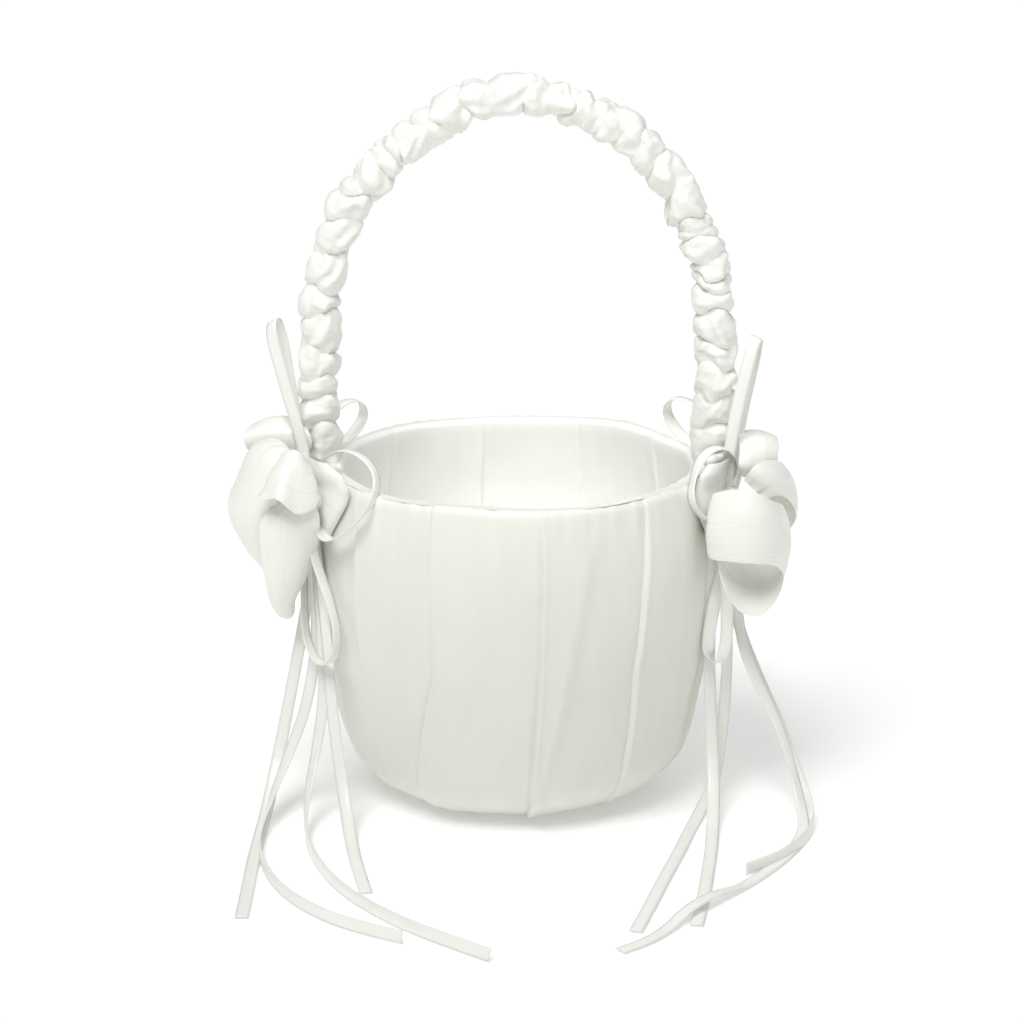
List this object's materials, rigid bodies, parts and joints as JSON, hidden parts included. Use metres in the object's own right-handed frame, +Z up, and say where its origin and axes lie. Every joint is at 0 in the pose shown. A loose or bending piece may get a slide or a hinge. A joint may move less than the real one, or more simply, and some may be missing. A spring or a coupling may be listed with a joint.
{
  "type": "flower girl basket",
  "caption": "Round padded satin basket with a pleated cover, a tall ruched hoop handle, and a satin bow with loops and long narrow streamers at each foot of the handle.",
  "frame": {"origin": "centre of the base disc's underside, on the surface the basket stands on", "axes": "+Z up, X through the two feet of the handle with +X to the right of someone looking at the front, -Y towards the front"},
  "size_m": [0.226, 0.2627, 0.2874],
  "materials": {
    "satin": "ivory satin, glossy, crumpled and pleated",
    "lining_satin": "ivory satin, glossy, gathered",
    "wide_ribbon": "ivory single-face satin ribbon, very glossy",
    "thin_ribbon": "narrow ivory double-face satin ribbon, very glossy",
    "base_cloth": "matte ivory felt",
    "wadding": "white polyester wadding, matte",
    "card": "greyboard, matte",
    "strip_plastic": "white flat boning strip",
    "rivet_metal": "plain steel"
  },
  "bodies": {
    "root": {"base_disc": "base_cloth", "bow_left_back_petal": "wide_ribbon", "bow_left_centre": "wide_ribbon", "bow_left_front_petal": "wide_ribbon", "bow_left_lower_petal": "wide_ribbon", "bow_left_side_petal": "wide_ribbon", "bow_left_stem": "wide_ribbon", "bow_right_centre": "wide_ribbon", "bow_right_lower_petal": "wide_ribbon", "bow_right_side_petal": "wide_ribbon", "bow_right_stem": "wide_ribbon", "bow_right_top_petal": "wide_ribbon", "floor_card": "card", "floor_pad": "lining_satin", "handle_rivets": "rivet_metal", "handle_sleeve": "satin", "handle_strip": "strip_plastic", "lining_wall": "lining_satin", "loop_left_back": "thin_ribbon", "loop_left_down": "thin_ribbon", "loop_left_front": "thin_ribbon", "loop_left_up": "thin_ribbon", "loop_right_back": "thin_ribbon", "loop_right_down": "thin_ribbon", "loop_right_front": "thin_ribbon", "loop_right_up": "thin_ribbon", "outer_cover": "satin", "ribbon_knot_left": "thin_ribbon", "ribbon_knot_right": "thin_ribbon", "rim_filling": "wadding", "sleeve_end_left": "satin", "sleeve_end_right": "satin", "streamer_left_curled": "thin_ribbon", "streamer_left_inner": "thin_ribbon", "streamer_left_long": "thin_ribbon", "streamer_left_outer": "thin_ribbon", "streamer_right_curled": "thin_ribbon", "streamer_right_front": "thin_ribbon", "streamer_right_outer": "thin_ribbon", "streamer_right_slant": "thin_ribbon", "tub_shell": "card", "wadding_wrap": "wadding"}
  },
  "joints": []
}
